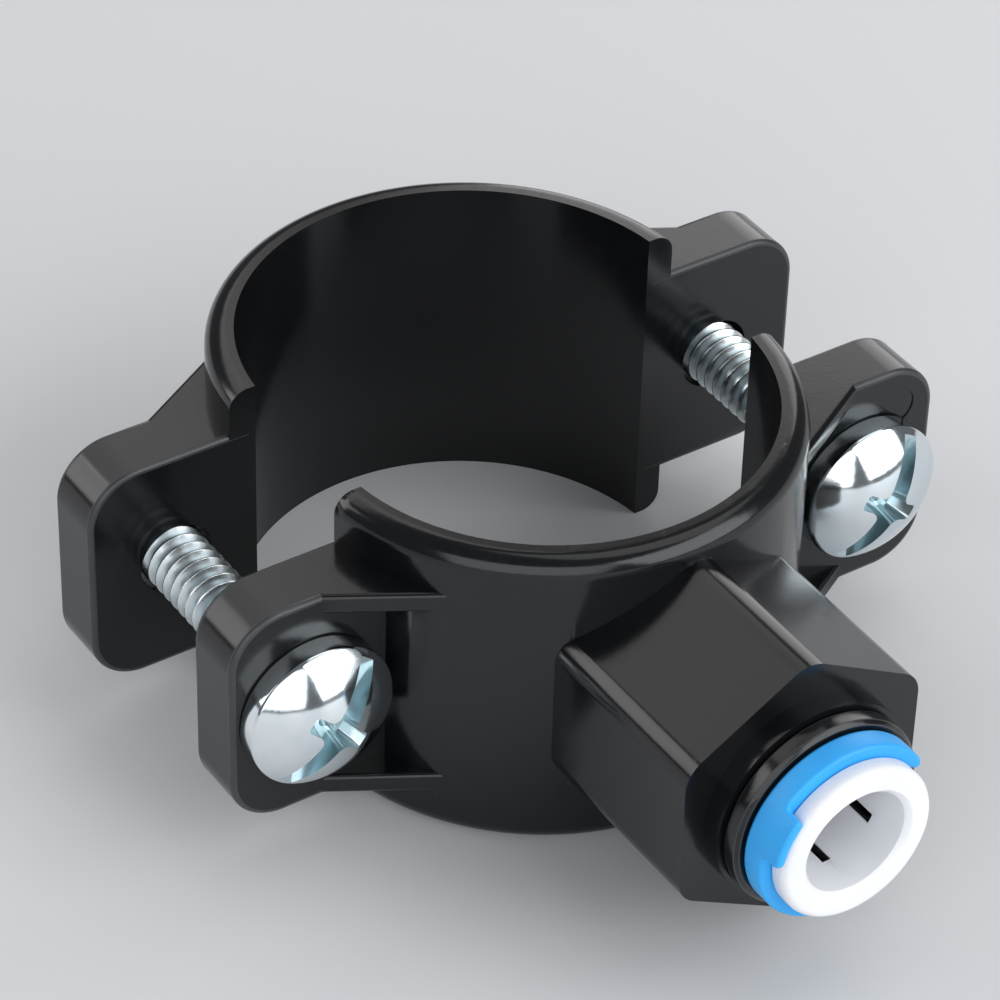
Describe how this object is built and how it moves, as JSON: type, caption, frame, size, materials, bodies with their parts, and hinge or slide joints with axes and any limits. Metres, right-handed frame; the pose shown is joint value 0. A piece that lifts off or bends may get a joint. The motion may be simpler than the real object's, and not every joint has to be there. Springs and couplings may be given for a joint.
{
  "type": "drain saddle clamp",
  "caption": "Drain saddle clamp: half rings with screwed ears close round a pipe, and a push-in tube port with a pull-off locking clip stands on a hexagonal boss.",
  "frame": {"origin": "centre of the front pipe seat, at mid height of the clamp", "axes": "+Z along the pipe, X along the ears, -Y the way the tube port points"},
  "size_m": [0.0736, 0.0809, 0.031],
  "materials": {
    "black_plastic": "glossy moulded black polypropylene",
    "rubber": "matt black rubber",
    "zinc_steel": "bright zinc plated steel",
    "stainless": "cold rolled stainless strip",
    "white_plastic": "satin white acetal",
    "blue_plastic": "satin blue plastic"
  },
  "bodies": {
    "saddle": {"front_saddle": "black_plastic", "pipe_seal": "rubber", "retainer_cap": "black_plastic", "o_ring": "rubber", "backing_washer": "white_plastic"},
    "rear": {"rear_saddle": "black_plastic", "nut_left": "zinc_steel", "nut_right": "zinc_steel"},
    "screw_left": {"screw_left": "zinc_steel"},
    "screw_right": {"screw_right": "zinc_steel"},
    "collet": {"collet": "white_plastic", "tooth_1": "stainless", "tooth_2": "stainless", "tooth_3": "stainless", "tooth_4": "stainless", "tooth_5": "stainless", "tooth_6": "stainless"},
    "clip": {"locking_clip": "blue_plastic"}
  },
  "joints": [
    {"name": "screw_left_turn", "type": "hinge", "parent": "saddle", "child": "screw_left", "pos_m": [-0.0284, -0.00813, 0], "axis": [0, 1, 0], "range_deg": [-1440, 5760]},
    {"name": "screw_right_turn", "type": "hinge", "parent": "saddle", "child": "screw_right", "pos_m": [0.0284, -0.00813, 0], "axis": [0, 1, 0], "range_deg": [-1440, 5760]},
    {"name": "rear_slide", "type": "slide", "parent": "saddle", "child": "rear", "axis": [0, 1, 0], "range_m": [-0.01601, 0.00401]},
    {"name": "collet_slide", "type": "slide", "parent": "saddle", "child": "collet", "axis": [0, -1, 0], "range_m": [-0.0001, 0.0007]},
    {"name": "clip_pull", "type": "slide", "parent": "collet", "child": "clip", "axis": [-0.9063, 0, 0.4226], "range_m": [0, 0.016]}
  ],
  "couplings": [
    {"joint": "screw_right_turn", "follows": "screw_left_turn", "ratio": 1},
    {"joint": "rear_slide", "follows": "screw_left_turn", "m_per_rad": -0.00015915}
  ]
}
